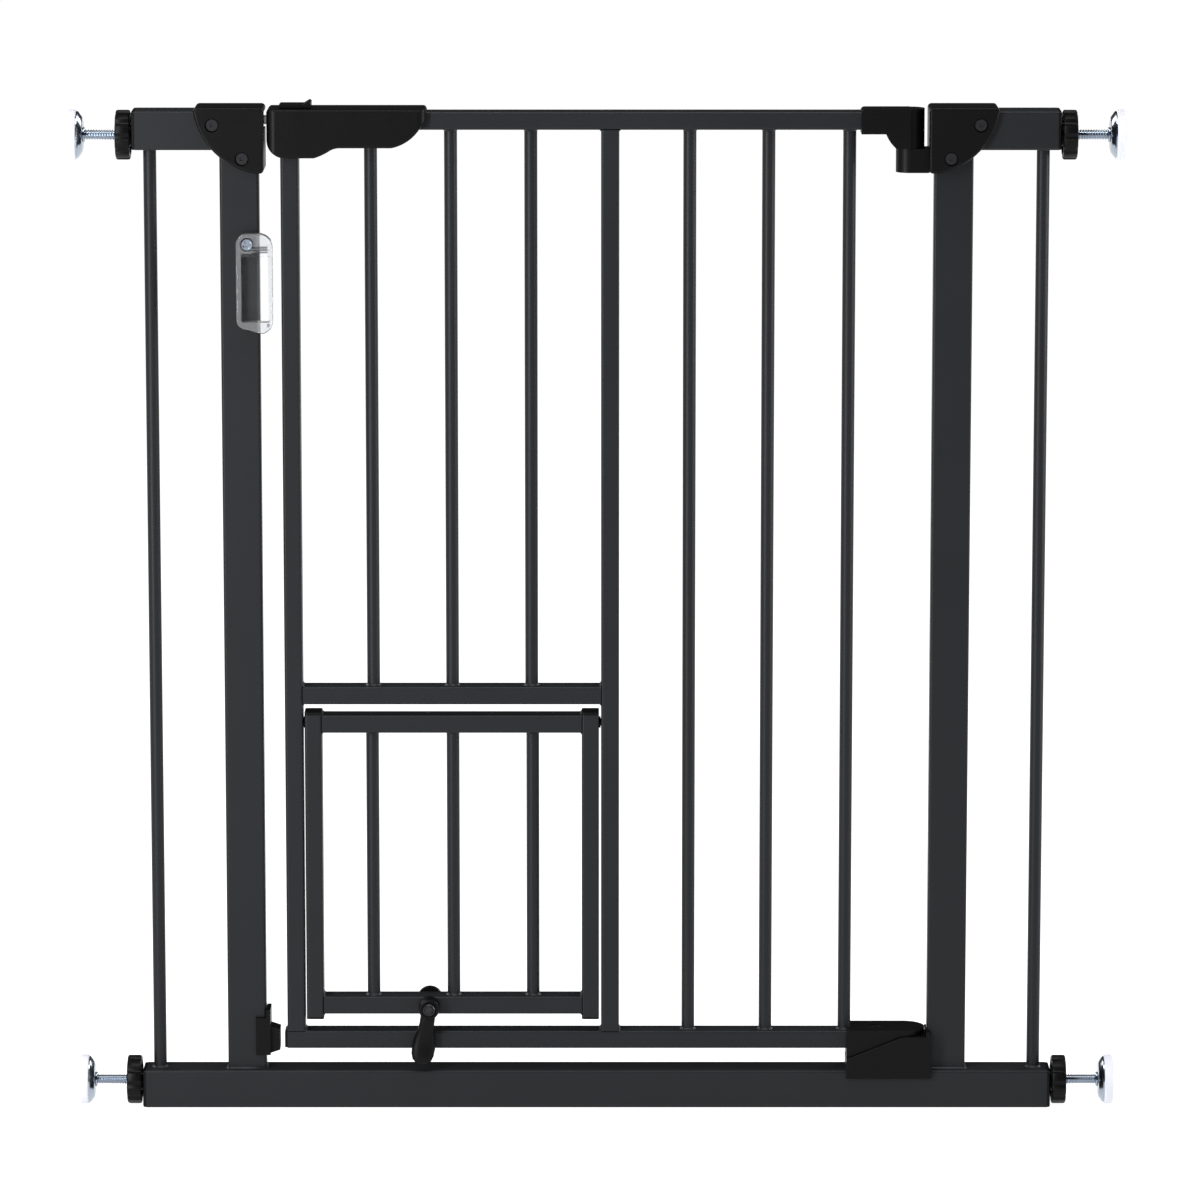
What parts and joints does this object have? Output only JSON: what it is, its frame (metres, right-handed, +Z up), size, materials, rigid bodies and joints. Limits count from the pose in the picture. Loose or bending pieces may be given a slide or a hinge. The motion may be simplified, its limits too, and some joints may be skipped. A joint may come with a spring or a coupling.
{
  "type": "pet gate",
  "caption": "Pressure-mounted steel pet gate with a walk-through door, a small top-hung pet flap, a thumb-slide latch and screw spindles.",
  "frame": {"origin": "on the floor, under the middle of the base rail", "axes": "+X across the doorway towards the hinge side, +Y the way the door opens, +Z up"},
  "size_m": [0.808, 0.048, 0.788],
  "materials": {
    "powder_coat": "satin charcoal powder coat",
    "black_plastic": "fine-grained moulded black",
    "zinc": "bright zinc plate",
    "steel": "plain steel",
    "black_steel": "black oxide",
    "white_rubber": "matte white",
    "clear_plastic": "clear moulded"
  },
  "bodies": {
    "frame": {"base_rail": "powder_coat", "left_post": "powder_coat", "right_post": "powder_coat", "left_upper_rail": "powder_coat", "right_upper_rail": "powder_coat", "left_outer_bar": "powder_coat", "right_outer_bar": "powder_coat", "tube_end_caps": "black_plastic", "left_bracket_front": "black_plastic", "left_bracket_rear": "black_plastic", "right_bracket_front": "black_plastic", "right_bracket_rear": "black_plastic", "frame_screws": "black_steel", "latch_strike": "steel", "bottom_catch": "black_plastic", "lower_hinge_base": "black_plastic", "door_stop": "clear_plastic", "stop_screws": "zinc"},
    "hinge_pins": {"upper_hinge_pin": "steel", "lower_hinge_pin": "steel"},
    "door": {"door_left_stile": "powder_coat", "door_middle_stile": "powder_coat", "door_top_rail": "powder_coat", "door_mid_rail": "powder_coat", "door_bottom_rail": "powder_coat", "door_upper_bars": "powder_coat", "door_right_bars": "powder_coat", "latch_housing_front": "black_plastic", "latch_housing_rear": "black_plastic", "housing_screws": "steel", "hinge_elbow": "black_plastic", "lower_hinge_cam": "black_plastic", "cam_screw": "black_steel", "door_rail_plug": "black_plastic", "latch_spring": "steel"},
    "latch": {"latch_slider": "black_plastic", "latch_tongue": "steel"},
    "flap": {"flap_left_stile": "powder_coat", "flap_right_stile": "powder_coat", "flap_top_rail": "powder_coat", "flap_bottom_rail": "powder_coat", "flap_bars": "powder_coat", "flap_caps": "black_plastic", "flap_pins": "black_plastic"},
    "flap_lock": {"lock_lever": "black_plastic", "lock_rear_knob": "black_plastic", "lock_bolt": "black_steel"},
    "hand_wheel_bottom_left": {"wheel_bottom_left": "black_plastic"},
    "spindle_bottom_left": {"rod_bottom_left": "zinc", "pad_bottom_left": "white_rubber"},
    "hand_wheel_bottom_right": {"wheel_bottom_right": "black_plastic"},
    "spindle_bottom_right": {"rod_bottom_right": "zinc", "pad_bottom_right": "white_rubber"},
    "hand_wheel_top_left": {"wheel_top_left": "black_plastic"},
    "spindle_top_left": {"rod_top_left": "zinc", "pad_top_left": "white_rubber"},
    "hand_wheel_top_right": {"wheel_top_right": "black_plastic"},
    "spindle_top_right": {"rod_top_right": "zinc", "pad_top_right": "white_rubber"}
  },
  "joints": [
    {"name": "door_rise", "type": "slide", "parent": "frame", "child": "hinge_pins", "axis": [0, 0, 1], "range_m": [0, 0.0076]},
    {"name": "door_swing", "type": "hinge", "parent": "hinge_pins", "child": "door", "pos_m": [0.2396, 0, 0.4], "axis": [0, 0, -1], "range_deg": [0, 90]},
    {"name": "latch_slide", "type": "slide", "parent": "door", "child": "latch", "axis": [1, 0, 0], "range_m": [0, 0.008], "stiffness_N_per_m": 150, "springref_m": -0.01, "deforming": ["latch_spring"]},
    {"name": "flap_swing", "type": "hinge", "parent": "door", "child": "flap", "pos_m": [-0.1121, 0, 0.3045], "axis": [-1, 0, 0], "range_deg": [0, 85]},
    {"name": "lock_turn", "type": "hinge", "parent": "flap", "child": "flap_lock", "pos_m": [-0.1305, 0, 0.081], "axis": [0, 1, 0], "continuous": true},
    {"name": "wheel_spin_bottom_left", "type": "hinge", "parent": "frame", "child": "hand_wheel_bottom_left", "pos_m": [-0.3615, 0, 0.0195], "axis": [-1, 0, 0], "range_deg": [-3440, 2180]},
    {"name": "spindle_travel_bottom_left", "type": "slide", "parent": "frame", "child": "spindle_bottom_left", "axis": [-1, 0, 0], "range_m": [-0.019, 0.012]},
    {"name": "wheel_spin_bottom_right", "type": "hinge", "parent": "frame", "child": "hand_wheel_bottom_right", "pos_m": [0.3615, 0, 0.0195], "axis": [1, 0, 0], "range_deg": [-3440, 2180]},
    {"name": "spindle_travel_bottom_right", "type": "slide", "parent": "frame", "child": "spindle_bottom_right", "axis": [1, 0, 0], "range_m": [-0.019, 0.012]},
    {"name": "wheel_spin_top_left", "type": "hinge", "parent": "frame", "child": "hand_wheel_top_left", "pos_m": [-0.3615, 0, 0.7615], "axis": [-1, 0, 0], "range_deg": [-3440, 2180]},
    {"name": "spindle_travel_top_left", "type": "slide", "parent": "frame", "child": "spindle_top_left", "axis": [-1, 0, 0], "range_m": [-0.019, 0.012]},
    {"name": "wheel_spin_top_right", "type": "hinge", "parent": "frame", "child": "hand_wheel_top_right", "pos_m": [0.3615, 0, 0.7615], "axis": [1, 0, 0], "range_deg": [-3440, 2180]},
    {"name": "spindle_travel_top_right", "type": "slide", "parent": "frame", "child": "spindle_top_right", "axis": [1, 0, 0], "range_m": [-0.019, 0.012]}
  ],
  "couplings": [
    {"joint": "door_rise", "follows": "door_swing", "m_per_rad": 0.0047746},
    {"joint": "wheel_spin_bottom_left", "follows": "spindle_travel_bottom_left", "rad_per_m": 3141.6},
    {"joint": "wheel_spin_bottom_right", "follows": "spindle_travel_bottom_right", "rad_per_m": 3141.6},
    {"joint": "wheel_spin_top_left", "follows": "spindle_travel_top_left", "rad_per_m": 3141.6},
    {"joint": "wheel_spin_top_right", "follows": "spindle_travel_top_right", "rad_per_m": 3141.6}
  ]
}
